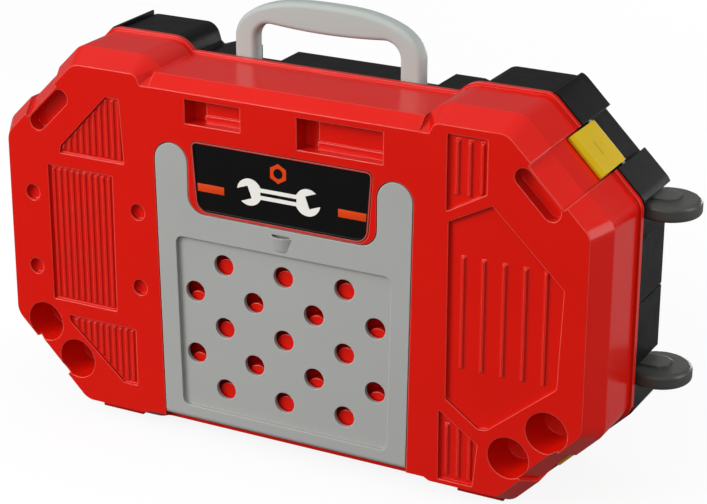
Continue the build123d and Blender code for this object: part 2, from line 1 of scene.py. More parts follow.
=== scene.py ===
"""Looks of a toy workshop set shut up as an octagonal carry case.

The CAD frame gives every moulding at its real size. This script dresses each
one, adds the printed and pressed details, and sets the studio and the camera.
Sizes are in millimetres unless a name says otherwise.
"""

import json
import logging
import math
from dataclasses import dataclass, field
from enum import Enum
from typing import Callable

import bmesh
import bpy
from mathutils import Matrix, Vector

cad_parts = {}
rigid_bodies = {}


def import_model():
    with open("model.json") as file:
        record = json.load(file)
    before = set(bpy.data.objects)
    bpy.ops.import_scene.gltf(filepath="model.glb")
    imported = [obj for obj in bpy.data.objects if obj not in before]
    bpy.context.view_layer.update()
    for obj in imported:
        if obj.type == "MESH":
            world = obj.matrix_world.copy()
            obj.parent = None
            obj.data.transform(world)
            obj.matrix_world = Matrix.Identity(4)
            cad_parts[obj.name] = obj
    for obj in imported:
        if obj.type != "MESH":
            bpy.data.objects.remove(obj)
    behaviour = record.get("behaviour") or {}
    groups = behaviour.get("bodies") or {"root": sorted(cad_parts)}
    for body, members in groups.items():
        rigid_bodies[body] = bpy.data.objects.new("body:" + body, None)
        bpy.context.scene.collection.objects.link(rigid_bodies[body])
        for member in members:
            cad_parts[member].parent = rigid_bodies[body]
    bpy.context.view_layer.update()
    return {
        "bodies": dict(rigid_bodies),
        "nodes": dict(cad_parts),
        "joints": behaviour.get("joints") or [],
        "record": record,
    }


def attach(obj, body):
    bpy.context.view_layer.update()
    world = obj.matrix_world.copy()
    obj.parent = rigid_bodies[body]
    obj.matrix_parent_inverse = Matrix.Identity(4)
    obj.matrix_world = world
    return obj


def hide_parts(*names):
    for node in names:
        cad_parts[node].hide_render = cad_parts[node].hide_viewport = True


logging.basicConfig(level=logging.INFO, format="%(name)s: %(message)s")
log = logging.getLogger("toy_case")

MM = 0.001
IMAGE_WIDTH_PX = 707
QUARTER_TURN = math.radians(90)
# A normal with more than this along an axis belongs to a face square to it
SQUARE_ON = 0.999
# Heights closer than this are one height
SAME_LEVEL = 0.1
# Faces across each small round, and the angle above which an edge shades sharp
ROUND_SEGMENTS = 2
SHARP_ANGLE = math.radians(35)

# Sockets of a Mix node that mixes colours, which share their names with others
MIX_SHARE, MIX_FIRST, MIX_SECOND, MIX_RESULT = 0, 6, 7, 2

# The skin's noises: octaves of the tone, the scuffs and the grain
FLOW_DETAIL = 2.0
SCUFF_DETAIL = 6.0
SCUFF_BREAK = 0.62
GRAIN_DETAIL = 3.0
# The scuff noise where dulling starts and where it is full
SCUFF_START, SCUFF_FULL = 0.42, 0.78
# How far the rounded normal has left the true one where the painted edge highlight starts and is
# full
HIGHLIGHT_TURN_START, HIGHLIGHT_TURN_FULL = 0.95, 0.84
# How open the surroundings are where an edge starts to count as an outer one
OPEN_START, OPEN_FULL = 0.80, 0.96
# How far the surroundings reach, in widths of the edge
OPEN_REACH = 3
EDGE_SAMPLES = 6
OPEN_SAMPLES = 4
METAL_DETAIL = 4.0


class Ink(Enum):
    """The printed colours of the name plate, and the rose of the painted highlight line round it.
    """

    ORANGE = "D0400F"
    WHITE = "E9E6E0"
    HIGHLIGHT_ROSE = "C2483E"


def linear(hex_colour: str) -> tuple[float, float, float, float]:
    """Turns an sRGB hex colour into linear light.

    Args:
        hex_colour: six hex digits.

    Returns:
        Red, green, blue and an alpha of one.
    """
    channels = [int(hex_colour[i:i + 2], 16) / 255 for i in (0, 2, 4)]
    # The sRGB curve: a straight foot below 0.04045 and a power above it
    flat = [c / 12.92 if c <= 0.04045 else ((c + 0.055) / 1.055) ** 2.4 for c in channels]
    return (flat[0], flat[1], flat[2], 1.0)


def add_node(tree: bpy.types.NodeTree, kind: str, settings: dict | None = None,
             inputs: dict | None = None, links: dict | None = None) -> bpy.types.Node:
    """Adds one shader node.

    Args:
        tree: the node tree to add to.
        kind: the node's type name.
        settings: attributes to set on the node.
        inputs: values for its input sockets.
        links: output sockets to join to its input sockets.

    Returns:
        The new node.
    """
    node = tree.nodes.new(kind)
    for name, value in (settings or {}).items():
        setattr(node, name, value)
    for name, value in (inputs or {}).items():
        node.inputs[name].default_value = value
    for name, socket in (links or {}).items():
        tree.links.new(socket, node.inputs[name])
    return node


def empty_material(name: str) -> bpy.types.Material:
    """Starts a material with no nodes in it.

    Args:
        name: the material's name.

    Returns:
        The material.
    """
    material = bpy.data.materials.new(name)
    material.use_nodes = True
    material.node_tree.nodes.clear()
    return material


@dataclass(frozen=True)
class MouldedPlastic:
    """An injection-moulded plastic skin.

    The tone drifts a little with flow and wall thickness, a fine skin grain
    breaks the gloss, small scuffs dull it where hands and shelves rub, and the
    outer edges carry a painted highlight, a paler colour that stands in for
    lamps catching the rounded edges. The grain of such moulds is about 0.1 mm
    across. It is drawn at 0.5 to 1.2 mm, as coarse as it needs to show.
    """

    name: str
    colour: str
    deep_colour: str
    # A paler colour painted along the outer edges as a highlight
    edge_highlight_colour: str
    roughness: float
    grain_mm: float
    grain_depth_mm: float
    edge_mm: float
    # How much of that painted edge highlight shows
    edge_highlight_share: float
    specular: float
    flow_mm: float = 90.0
    scuff_mm: float = 14.0
    scuff: float = 0.10
    ior: float = 1.53

    def tone(self, tree: bpy.types.NodeTree, place: bpy.types.NodeSocket) -> bpy.types.NodeSocket:
        """Lets the body colour drift.

        Args:
            tree: the node tree to add to.
            place: the object's coordinates.

        Returns:
            A colour socket.
        """
        flow = add_node(tree, "ShaderNodeTexNoise",
                        inputs={"Scale": 1 / (self.flow_mm * MM), "Detail": FLOW_DETAIL},
                        links={"Vector": place})
        tone = add_node(tree, "ShaderNodeMix", {"data_type": "RGBA"},
                        {MIX_FIRST: linear(self.colour), MIX_SECOND: linear(self.deep_colour)},
                        {MIX_SHARE: flow.outputs["Fac"]})
        return tone.outputs[MIX_RESULT]

    def painted_edge_highlight(self, tree: bpy.types.NodeTree, rounded: bpy.types.NodeSocket) -> bpy.types.NodeSocket:
        """Finds the outer edges, where a paler painted highlight is laid.

        They are where the rounded normal leaves the true one and nothing
        stands close by, which leaves out the inner corners.

        Args:
            tree: the node tree to add to.
            rounded: the normal rounded over the edges.

        Returns:
            A socket from 0 to the share of painted highlight.
        """
        true = add_node(tree, "ShaderNodeNewGeometry").outputs["True Normal"]
        turn = add_node(tree, "ShaderNodeVectorMath", {"operation": "DOT_PRODUCT"},
                        links={0: rounded, 1: true})
        highlight_turn = add_node(tree, "ShaderNodeMapRange",
                       inputs={"From Min": HIGHLIGHT_TURN_START, "From Max": HIGHLIGHT_TURN_FULL,
                               "To Max": self.edge_highlight_share},
                       links={"Value": turn.outputs["Value"]})
        around = add_node(tree, "ShaderNodeAmbientOcclusion", {"samples": OPEN_SAMPLES},
                          {"Distance": OPEN_REACH * self.edge_mm * MM})
        outer = add_node(tree, "ShaderNodeMapRange",
                         inputs={"From Min": OPEN_START, "From Max": OPEN_FULL},
                         links={"Value": around.outputs["AO"]})
        highlight_mask = add_node(tree, "ShaderNodeMath", {"operation": "MULTIPLY"},
                        links={0: highlight_turn.outputs["Result"], 1: outer.outputs["Result"]})
        return highlight_mask.outputs[0]

    def dullness(self, tree: bpy.types.NodeTree,
                 place: bpy.types.NodeSocket) -> bpy.types.NodeSocket:
        """Dulls the gloss where it is scuffed.

        Args:
            tree: the node tree to add to.
            place: the object's coordinates.

        Returns:
            A roughness socket.
        """
        scuff = add_node(tree, "ShaderNodeTexNoise",
                         inputs={"Scale": 1 / (self.scuff_mm * MM), "Detail": SCUFF_DETAIL,
                                 "Roughness": SCUFF_BREAK},
                         links={"Vector": place})
        dull = add_node(tree, "ShaderNodeMapRange",
                        inputs={"From Min": SCUFF_START, "From Max": SCUFF_FULL,
                                "To Min": self.roughness, "To Max": self.roughness + self.scuff},
                        links={"Value": scuff.outputs["Fac"]})
        return dull.outputs["Result"]

    def grain(self, tree: bpy.types.NodeTree, place: bpy.types.NodeSocket,
              rounded: bpy.types.NodeSocket) -> bpy.types.NodeSocket:
        """Lays the mould's grain over the rounded normal.

        Args:
            tree: the node tree to add to.
            place: the object's coordinates.
            rounded: the normal rounded over the edges.

        Returns:
            A normal socket.
        """
        grain = add_node(tree, "ShaderNodeTexNoise",
                         inputs={"Scale": 1 / (self.grain_mm * MM), "Detail": GRAIN_DETAIL},
                         links={"Vector": place})
        bump = add_node(tree, "ShaderNodeBump",
                        inputs={"Strength": 1.0, "Distance": self.grain_depth_mm * MM},
                        links={"Height": grain.outputs["Fac"], "Normal": rounded})
        return bump.outputs["Normal"]

    def make(self) -> bpy.types.Material:
        """Builds the material.

        Returns:
            The finished material.
        """
        material = empty_material(self.name)
        tree = material.node_tree
        place = add_node(tree, "ShaderNodeTexCoord").outputs["Object"]
        rounded = add_node(tree, "ShaderNodeBevel", {"samples": EDGE_SAMPLES},
                           {"Radius": self.edge_mm * MM}).outputs["Normal"]
        # The body tone with a paler painted highlight mixed in along the outer edges
        skin = add_node(tree, "ShaderNodeMix", {"data_type": "RGBA"},
                        {MIX_SECOND: linear(self.edge_highlight_colour)},
                        {MIX_SHARE: self.painted_edge_highlight(tree, rounded), MIX_FIRST: self.tone(tree, place)})
        shader = add_node(tree, "ShaderNodeBsdfPrincipled",
                          inputs={"IOR": self.ior, "Specular IOR Level": self.specular},
                          links={"Base Color": skin.outputs[MIX_RESULT],
                                 "Roughness": self.dullness(tree, place),
                                 "Normal": self.grain(tree, place, rounded)})
        add_node(tree, "ShaderNodeOutputMaterial", links={"Surface": shader.outputs["BSDF"]})
        return material


@dataclass(frozen=True)
class BrightSteel:
    """Bright steel, drawn or plated.

    Its sheen is uneven at the scale of the drawing marks or the plating's
    crystals. These are under 0.1 mm across and are drawn at 0.3 to 0.5 mm, as
    coarse as they need to show.
    """

    name: str
    colour: str
    roughness: float
    grain_mm: float
    spread: float = 0.18

    def make(self) -> bpy.types.Material:
        """Builds the material.

        Returns:
            The finished material.
        """
        material = empty_material(self.name)
        tree = material.node_tree
        place = add_node(tree, "ShaderNodeTexCoord").outputs["Object"]
        grain = add_node(tree, "ShaderNodeTexNoise",
                         inputs={"Scale": 1 / (self.grain_mm * MM), "Detail": METAL_DETAIL},
                         links={"Vector": place})
        sheen = add_node(tree, "ShaderNodeMapRange",
                         inputs={"To Min": self.roughness, "To Max": self.roughness + self.spread},
                         links={"Value": grain.outputs["Fac"]})
        shader = add_node(tree, "ShaderNodeBsdfPrincipled",
                          inputs={"Base Color": linear(self.colour), "Metallic": 1.0},
                          links={"Roughness": sheen.outputs["Result"]})
        add_node(tree, "ShaderNodeOutputMaterial", links={"Surface": shader.outputs["BSDF"]})
        return material


Finish = MouldedPlastic | BrightSteel

# Each finish's edge colour is a painted highlight, laid paler along its outer edges
# Gloss ABS from a polished mould: a deep red with clear, soft highlights, and
# pale painted highlight lines along its outer edges
RED_ABS = MouldedPlastic(
    name="gloss_moulded_abs_red", colour="D01607", deep_colour="C80F05", edge_highlight_colour="FF9A84",
    roughness=0.18, grain_mm=1.1, grain_depth_mm=0.008, edge_mm=1.2, edge_highlight_share=0.45, specular=0.22)
# Polypropylene from a fine-blasted mould: an even, milky grey without hard
# highlights
GREY_PP = MouldedPlastic(
    name="satin_moulded_polypropylene_grey", colour="A2A3A0", deep_colour="9B9C99",
    edge_highlight_colour="D9D3CF", roughness=0.42, grain_mm=0.7, grain_depth_mm=0.014, edge_mm=0.8,
    edge_highlight_share=0.6, specular=0.18)
# Polypropylene from a grained mould: a pale grey whose grain spreads each
# highlight into a broad, soft sheen
PALE_PP = MouldedPlastic(
    name="grained_moulded_polypropylene_pale_grey", colour="A9AFAB", deep_colour="A4AAA6",
    edge_highlight_colour="C2C7C3", roughness=0.48, grain_mm=0.6, grain_depth_mm=0.018, edge_mm=1.2,
    edge_highlight_share=0.3, specular=0.18)
# Black ABS from a spark-eroded mould: a deep satin black with a faint painted
# highlight on its edges
BLACK_ABS = MouldedPlastic(
    name="satin_moulded_abs_black", colour="0B0B0C", deep_colour="080809", edge_highlight_colour="2A2A2D",
    roughness=0.40, grain_mm=0.8, grain_depth_mm=0.016, edge_mm=0.8, edge_highlight_share=0.6, specular=0.09)
# Acetal from a plain mould: a strong, waxy yellow with a blurred shine
YELLOW_POM = MouldedPlastic(
    name="moulded_acetal_yellow", colour="CFAF08", deep_colour="C6A506", edge_highlight_colour="E6CC4A",
    roughness=0.36, grain_mm=0.9, grain_depth_mm=0.012, edge_mm=0.8, edge_highlight_share=0.5, specular=0.15)
# Dark polypropylene from a fine-blasted mould: a warm charcoal, paler than the
# black shell, with a dull sheen that follows the round feet
DARK_PP = MouldedPlastic(
    name="satin_moulded_polypropylene_dark_grey", colour="40423F", deep_colour="3A3C39",
    edge_highlight_colour="666864", roughness=0.36, grain_mm=0.8, grain_depth_mm=0.018, edge_mm=0.8,
    edge_highlight_share=0.5, specular=0.3)
# Lacquered ABS: a plate smoother and deeper in its black than the moulded shell
PLATE_ABS = MouldedPlastic(
    name="gloss_lacquered_abs_black", colour="0B0909", deep_colour="080707", edge_highlight_colour="2A1818",
    roughness=0.20, grain_mm=1.2, grain_depth_mm=0.005, edge_mm=0.3, edge_highlight_share=0.4, specular=0.20)
# Screen ink: a flat, opaque orange, slightly rougher than the lacquer under it
ORANGE_INK = MouldedPlastic(
    name="screen_printed_ink_orange", colour=Ink.ORANGE.value, deep_colour="CC3E0C",
    edge_highlight_colour=Ink.ORANGE.value, roughness=0.34, grain_mm=0.5, grain_depth_mm=0.004,
    edge_mm=0.05, edge_highlight_share=0.0, specular=0.2)
# Screen ink: a flat, opaque off-white that hides the black under it
WHITE_INK = MouldedPlastic(
    name="screen_printed_ink_white", colour=Ink.WHITE.value, deep_colour="DFDCD5",
    edge_highlight_colour=Ink.WHITE.value, roughness=0.36, grain_mm=0.5, grain_depth_mm=0.004,
    edge_mm=0.05, edge_highlight_share=0.0, specular=0.2)
# A raised bead on the plate's rim: its pale rose colour is a painted highlight, with a soft shine
ROSE_BEAD_PAINTED_HIGHLIGHT = MouldedPlastic(
    name="rose_bead_painted_highlight", colour=Ink.HIGHLIGHT_ROSE.value, deep_colour="B03A32",
    edge_highlight_colour="E08A80", roughness=0.28, grain_mm=0.5, grain_depth_mm=0.004, edge_mm=0.15,
    edge_highlight_share=0.4, specular=0.4)
# Drawn steel wire: a bright, clean metal whose sheen is broken along the pin
STEEL = BrightSteel(name="drawn_steel_bright", colour="B4B4B6", roughness=0.22, grain_mm=0.3)
# Zinc-plated steel: a duller, slightly cool metal with a soft sheen
ZINC = BrightSteel(name="zinc_plated_steel_pale", colour="A9AAAC", roughness=0.30, grain_mm=0.5)

NODE_FINISHES: dict[str, Finish] = {
    "front_shell": RED_ABS, "tool_board": GREY_PP, "name_plate": PLATE_ABS, "handle": PALE_PP,
    "rear_upper_shell": BLACK_ABS, "rear_lower_shell": BLACK_ABS, "inner_tray": BLACK_ABS}


def dress(obj: bpy.types.Object, material: bpy.types.Material) -> None:
    """Gives an object one material.

    Args:
        obj: the object to dress.
        material: its only material.
    """
    obj.data.materials.clear()
    obj.data.materials.append(material)


def select_only(obj: bpy.types.Object) -> None:
    """Makes an object the only one selected, and active.

    Args:
        obj: the object to select.
    """
    bpy.ops.object.select_all(action="DESELECT")
    obj.select_set(True)
    bpy.context.view_layer.objects.active = obj


def choose(obj: bpy.types.Object, kind: str, test: Callable[..., bool]) -> None:
    """Selects the vertices or faces of the object in edit mode that pass a test.

    Args:
        obj: the object, in edit mode.
        kind: VERT or FACE.
        test: takes a vertex's place in mm, or a face's middle in mm and its normal.
    """
    bpy.ops.mesh.select_mode(type=kind)
    bpy.ops.mesh.select_all(action="DESELECT")
    mesh = bmesh.from_edit_mesh(obj.data)
    if kind == "VERT":
        for vert in mesh.verts:
            vert.select = test(vert.co / MM)
    else:
        for face in mesh.faces:
            face.select = test(face.calc_center_median() / MM, face.normal)
    mesh.select_flush_mode()
    bmesh.update_edit_mesh(obj.data)


def apply_place(obj: bpy.types.Object) -> None:
    """Puts an object's place, turn and size into its mesh.

    Args:
        obj: the object.
    """
    select_only(obj)
    bpy.ops.object.transform_apply(location=True, rotation=True, scale=True)


def add_box(middle: tuple[float, float, float], size: tuple[float, float, float],
            turn_deg: float = 0.0) -> bpy.types.Object:
    """Adds a box with its place in its mesh.

    Args:
        middle: its middle.
        size: its size along X, Y and Z.
        turn_deg: its turn about Y.

    Returns:
        The box.
    """
    bpy.ops.object.select_all(action="DESELECT")
    bpy.ops.mesh.primitive_cube_add(size=1, location=[c * MM for c in middle],
                                    rotation=(0, math.radians(turn_deg), 0))
    box = bpy.context.object
    box.scale = [c * MM for c in size]
    apply_place(box)
    return box


def add_disc(middle: tuple[float, float, float], radius: float, depth: float,
             sides: int) -> bpy.types.Object:
    """Adds a round or many-sided disc that faces along Y, with its place in its mesh.

    Args:
        middle: its middle.
        radius: its radius.
        depth: its thickness.
        sides: how many sides it has.

    Returns:
        The disc.
    """
    bpy.ops.object.select_all(action="DESELECT")
    bpy.ops.mesh.primitive_cylinder_add(vertices=sides, radius=radius * MM, depth=depth * MM,
                                        location=[c * MM for c in middle],
                                        rotation=(QUARTER_TURN, 0, 0))
    disc = bpy.context.object
    apply_place(disc)
    return disc


def cut(obj: bpy.types.Object, tool: bpy.types.Object, operation: str) -> None:
    """Joins a tool to an object or cuts it away, and deletes the tool.

    Args:
        obj: the object that stays.
        tool: the object that is used up.
        operation: UNION or DIFFERENCE.
    """
    modifier = obj.modifiers.new("cut", "BOOLEAN")
    modifier.operation = operation
    modifier.solver = "EXACT"
    modifier.object = tool
    select_only(obj)
    bpy.ops.object.modifier_apply(modifier=modifier.name)
    bpy.data.objects.remove(tool, do_unlink=True)


def soften(obj: bpy.types.Object, width: float) -> None:
    """Rounds the sharp edges of an object and shades it smooth between them.

    Args:
        obj: the object.
        width: the width of the round.
    """
    modifier = obj.modifiers.new("soften", "BEVEL")
    modifier.width = width * MM
    modifier.segments = ROUND_SEGMENTS
    modifier.limit_method = "ANGLE"
    select_only(obj)
    bpy.ops.object.modifier_apply(modifier=modifier.name)
    bpy.ops.object.shade_smooth_by_angle(angle=SHARP_ANGLE)


@dataclass
class PlatePrint:
    """The painted highlight line round the black plate and what is printed on it."""

    # The plate's outline, which narrows towards its foot
    half_width: float = 65.0
    foot_half_width: float = 61.5
    top: float = 211.0
    foot: float = 163.5
    top_round: float = 4.0
    foot_round: float = 9.0
    round_faces: int = 8
    # The rim that the highlight line lies on, and the floor that the print lies on
    rim_y: float = -50.5
    floor_y: float = -50.0
    line_width: float = 1.0
    line_height: float = 0.35
    line_edge: float = 0.1225
    # The ink's thickness, the round of its edges, and half the depth of a tool that cuts it
    film: float = 0.2
    film_edge: float = 0.08
    tool_depth: float = 0.8
    stripe_foot: float = 178.0
    stripe_top: float = 183.3
    stripe_inner: float = 41.0
    stripe_outer: float = 62.2
    # The spanner: round heads on a shaft, each opened by a leaning mouth
    spanner_mid: tuple[float, float] = (-1.5, 183.5)
    spanner_length: float = 60.0
    jaw_radius: float = 9.0
    jaw_lean_deg: float = 20.0
    jaw_sides: int = 40
    mouth_out: float = 6.48
    mouth_length: float = 13.5
    mouth_height: float = 8.6
    shaft_height: float = 7.5
    groove_height: float = 2.25
    groove_end: float = 8.0
    nut_mid: tuple[float, float] = (-1.5, 199.0)
    nut_radius: float = 6.6
    nut_bore: float = 3.3
    nut_bore_sides: int = 32

    def highlight_line(self) -> bpy.types.Object:
        """Raises a thin line on the plate's rim, whose rose colour is a painted highlight.

        Returns:
            The line, in its place.
        """
        bpy.ops.object.select_all(action="DESELECT")
        height = self.top - self.foot
        middle = (self.top + self.foot) / 2
        bpy.ops.mesh.primitive_plane_add(size=1, location=(0, self.rim_y * MM, middle * MM),
                                         rotation=(QUARTER_TURN, 0, 0))
        line = bpy.context.object
        line.name = "plate_highlight_line"
        line.scale = (2 * self.half_width * MM, height * MM, 1)
        apply_place(line)
        bpy.ops.object.mode_set(mode="EDIT")
        choose(line, "VERT", lambda at: at.z < middle)
        bpy.ops.transform.resize(value=(self.foot_half_width / self.half_width, 1, 1),
                                 center_override=(0, 0, 0))
        lean = math.atan((self.half_width - self.foot_half_width) / height)
        for level, radius, tilt in ((self.top, self.top_round, -lean),
                                    (self.foot, self.foot_round, lean)):
            choose(line, "VERT", lambda at: abs(at.z - level) < SAME_LEVEL)
            reach = radius / math.tan((QUARTER_TURN + tilt) / 2)
            bpy.ops.mesh.bevel(affect="VERTICES", offset=reach * MM, offset_type="OFFSET",
                               segments=self.round_faces, profile=0.5)
        bpy.ops.mesh.select_mode(type="FACE")
        bpy.ops.mesh.select_all(action="SELECT")
        bpy.ops.mesh.inset(thickness=self.line_width * MM, use_boundary=True)
        bpy.ops.mesh.delete(type="FACE")
        bpy.ops.mesh.select_all(action="SELECT")
        bpy.ops.mesh.extrude_region_move(
            TRANSFORM_OT_translate={"value": (0, -self.line_height * MM, 0)})
        bpy.ops.mesh.select_all(action="SELECT")
        bpy.ops.mesh.normals_make_consistent(inside=False)
        bpy.ops.object.mode_set(mode="OBJECT")
        soften(line, self.line_edge)
        return line

    def block(self, mid: tuple[float, float], size: tuple[float, float], depth: float,
              turn_deg: float = 0.0) -> bpy.types.Object:
        """Makes a block that stands on the plate's floor.

        Args:
            mid: its middle in X and Z.
            size: its width and height.
            depth: how far it stands out, and as far behind the floor.
            turn_deg: its turn in the plate's plane.

        Returns:
            The block.
        """
        return add_box((mid[0], self.floor_y, mid[1]), (size[0], 2 * depth, size[1]), turn_deg)

    def disc(self, mid: tuple[float, float], radius: float, depth: float,
             sides: int) -> bpy.types.Object:
        """Makes a round or six-sided disc that stands on the plate's floor.

        Args:
            mid: its middle in X and Z.
            radius: its radius.
            depth: how far it stands out, and as far behind the floor.
            sides: how many sides it has.

        Returns:
            The disc.
        """
        return add_disc((mid[0], self.floor_y, mid[1]), radius, 2 * depth, sides)

    def spanner(self) -> bpy.types.Object:
        """Prints a white open-ended spanner with a grooved shaft.

        Returns:
            The spanner, in its place.
        """
        x, z = self.spanner_mid
        reach = self.spanner_length / 2 - self.jaw_radius
        shape = self.block((x, z), (2 * reach, self.shaft_height), self.film)
        shape.name = "plate_print_spanner"
        lean = math.radians(self.jaw_lean_deg)
        for side in (-1, 1):
            head = self.disc((x + side * reach, z), self.jaw_radius, self.film, self.jaw_sides)
            cut(shape, head, "UNION")
            mid = (x + side * (reach + self.mouth_out * math.cos(lean)),
                   z + side * self.mouth_out * math.sin(lean))
            mouth = self.block(mid, (self.mouth_length, self.mouth_height), self.tool_depth,
                               -self.jaw_lean_deg)
            cut(shape, mouth, "DIFFERENCE")
        groove = self.block((x, z), (2 * (reach - self.groove_end), self.groove_height),
                            self.tool_depth)
        cut(shape, groove, "DIFFERENCE")
        return shape

    def nut(self) -> bpy.types.Object:
        """Prints an orange hexagon nut.

        Returns:
            The nut, in its place.
        """
        shape = self.disc(self.nut_mid, self.nut_radius, self.film, 6)
        shape.name = "plate_print_nut"
        bore = self.disc(self.nut_mid, self.nut_bore, self.tool_depth, self.nut_bore_sides)
        cut(shape, bore, "DIFFERENCE")
        return shape

    def stripe(self, side: int) -> bpy.types.Object:
        """Prints one orange stripe.

        Args:
            side: -1 for the left one and 1 for the right one.

        Returns:
            The stripe, in its place.
        """
        mid = (side * (self.stripe_inner + self.stripe_outer) / 2,
               (self.stripe_foot + self.stripe_top) / 2)
        size = (self.stripe_outer - self.stripe_inner, self.stripe_top - self.stripe_foot)
        stripe = self.block(mid, size, self.film)
        stripe.name = "plate_print_stripe_" + ("left" if side < 0 else "right")
        soften(stripe, self.film_edge)
        return stripe

    def build(self) -> list[tuple[bpy.types.Object, Finish]]:
        """Builds every piece of the plate.

        Returns:
            Each piece with its finish.
        """
        return [(self.highlight_line(), ROSE_BEAD_PAINTED_HIGHLIGHT), (self.stripe(-1), ORANGE_INK),
                (self.stripe(1), ORANGE_INK), (self.spanner(), WHITE_INK),
                (self.nut(), ORANGE_INK)]


@dataclass
class BackScrews:
    """The pan-head screws that hold the rear shells to the tray behind them."""

    back_y: float = 53.5
    # How far the pieces are let into the back
    let_in: float = 0.2
    head_radius: float = 3.6
    head_height: float = 1.6
    head_sides: int = 40
    # The head narrows and rises in two steps, to a low dome
    shoulder_width: float = 1.08
    shoulder_rise: float = 0.5
    crown_width: float = 0.9
    crown_rise: float = 0.15
    slot_width: float = 0.9
    slot_length: float = 4.2
    slot_depth: float = 0.9
    seat_radius: float = 5.4
    seat_height: float = 0.6
    seat_rim: float = 1.2
    seat_sink: float = 0.4
    seat_sides: int = 48
    edge: float = 0.12
    places: tuple[tuple[float, float], ...] = (
        (-130, 232), (130, 232), (-130, 28), (130, 28),
        (-186, 150), (186, 150), (-186, 110), (186, 110))

    def head(self) -> bpy.types.Object:
        """Models one pan head with a cross slot, about the origin and facing +Y.

        Returns:
            The head.
        """
        head = add_disc((0, self.head_height / 2, 0), self.head_radius, self.head_height,
                        self.head_sides)
        bpy.ops.object.mode_set(mode="EDIT")
        choose(head, "FACE", lambda at, normal: normal.y > SQUARE_ON)
        for width, rise in ((self.shoulder_width, self.shoulder_rise),
                            (self.crown_width, self.crown_rise)):
            bpy.ops.mesh.inset(thickness=width * MM)
            bpy.ops.transform.translate(value=(0, rise * MM, 0))
        bpy.ops.object.mode_set(mode="OBJECT")
        crown = self.head_height + self.shoulder_rise + self.crown_rise
        for width, height in ((self.slot_length, self.slot_width),
                              (self.slot_width, self.slot_length)):
            slot = add_box((0, crown, 0), (width, 2 * self.slot_depth, height))
            cut(head, slot, "DIFFERENCE")
        soften(head, self.edge)
        return head

    def seat(self) -> bpy.types.Object:
        """Models the raised ring round a head, about the origin and facing +Y.

        Returns:
            The ring.
        """
        seat = add_disc((0, self.seat_height / 2, 0), self.seat_radius, self.seat_height,
                        self.seat_sides)
        bpy.ops.object.mode_set(mode="EDIT")
        choose(seat, "FACE", lambda at, normal: normal.y > SQUARE_ON)
        bpy.ops.mesh.inset(thickness=self.seat_rim * MM)
        bpy.ops.transform.translate(value=(0, -self.seat_sink * MM, 0))
        bpy.ops.object.mode_set(mode="OBJECT")
        soften(seat, self.edge)
        return seat

    def build(self) -> list[tuple[bpy.types.Object, Finish]]:
        """Builds a head and its ring at every place.

        Returns:
            Each piece with its finish.
        """
        made = []
        for model, name, finish in ((self.head(), "back_screw", ZINC),
                                    (self.seat(), "back_screw_seat", BLACK_ABS)):
            for number, (x, z) in enumerate(self.places, 1):
                piece = bpy.data.objects.new(f"{name}_{number}", model.data.copy())
                bpy.context.collection.objects.link(piece)
                piece.location = (x * MM, (self.back_y - self.let_in) * MM, z * MM)
                apply_place(piece)
                made.append((piece, finish))
            bpy.data.objects.remove(model, do_unlink=True)
        return made


@dataclass
class CarryHandle:
    """The handle, with the full shoulders and the higher crown of the real grip."""

    half_width: float = 67.4
    crown_lift: float = 1.0
    shoulder_lift: float = 4.2
    shoulder: float = 52.0
    # The handle is raised in upright bands of this width
    band: float = 0.75
    merge: float = 0.01
    sharp_deg: float = 28.0
    # Distance from the middle, and the height there that parts the opening's
    # edge from the crown's
    waist: tuple[tuple[float, float], ...] = (
        (0, 282), (20, 282), (40, 280.2), (45, 279.1), (48.5, 277.6), (52, 275.3),
        (55.9, 271), (56, 262), (70, 262))

    def lift(self, out: float) -> float:
        """Gives how far the crown rises.

        Args:
            out: the distance from the grip's middle.

        Returns:
            The rise.
        """
        if out < self.shoulder:
            share = 0.5 - 0.5 * math.cos(math.pi * out / self.shoulder)
            return self.crown_lift + (self.shoulder_lift - self.crown_lift) * share
        fade = min(1.0, (out - self.shoulder) / (self.half_width - self.shoulder))
        return self.shoulder_lift * math.cos(QUARTER_TURN * fade)

    def waist_height(self, out: float) -> float:
        """Gives the height that parts the opening's edge from the crown's.

        Args:
            out: the distance from the grip's middle.

        Returns:
            The height.
        """
        for (near, low), (far, high) in zip(self.waist, self.waist[1:]):
            if out <= far:
                return low + (high - low) * (out - near) / (far - near)
        return self.waist[-1][1]

    def build(self, node: bpy.types.Object) -> bpy.types.Object:
        """Copies the CAD handle and shapes its crown and shoulders.

        Args:
            node: the CAD handle.

        Returns:
            The shaped handle.
        """
        handle = bpy.data.objects.new("handle_grip", node.data.copy())
        bpy.context.collection.objects.link(handle)
        select_only(handle)
        bpy.ops.object.mode_set(mode="EDIT")
        bpy.ops.mesh.select_all(action="SELECT")
        bpy.ops.mesh.remove_doubles(threshold=self.merge * MM)
        bpy.ops.mesh.tris_convert_to_quads()
        for step in range(math.ceil(self.half_width / self.band) + 1):
            choose(handle, "VERT", lambda at: round(abs(at.x) / self.band) == step
                   and at.z > self.waist_height(abs(at.x)))
            bpy.ops.transform.translate(value=(0, 0, self.lift(step * self.band) * MM))
        bpy.ops.object.mode_set(mode="OBJECT")
        bpy.ops.object.shade_smooth_by_angle(angle=math.radians(self.sharp_deg))
        return handle


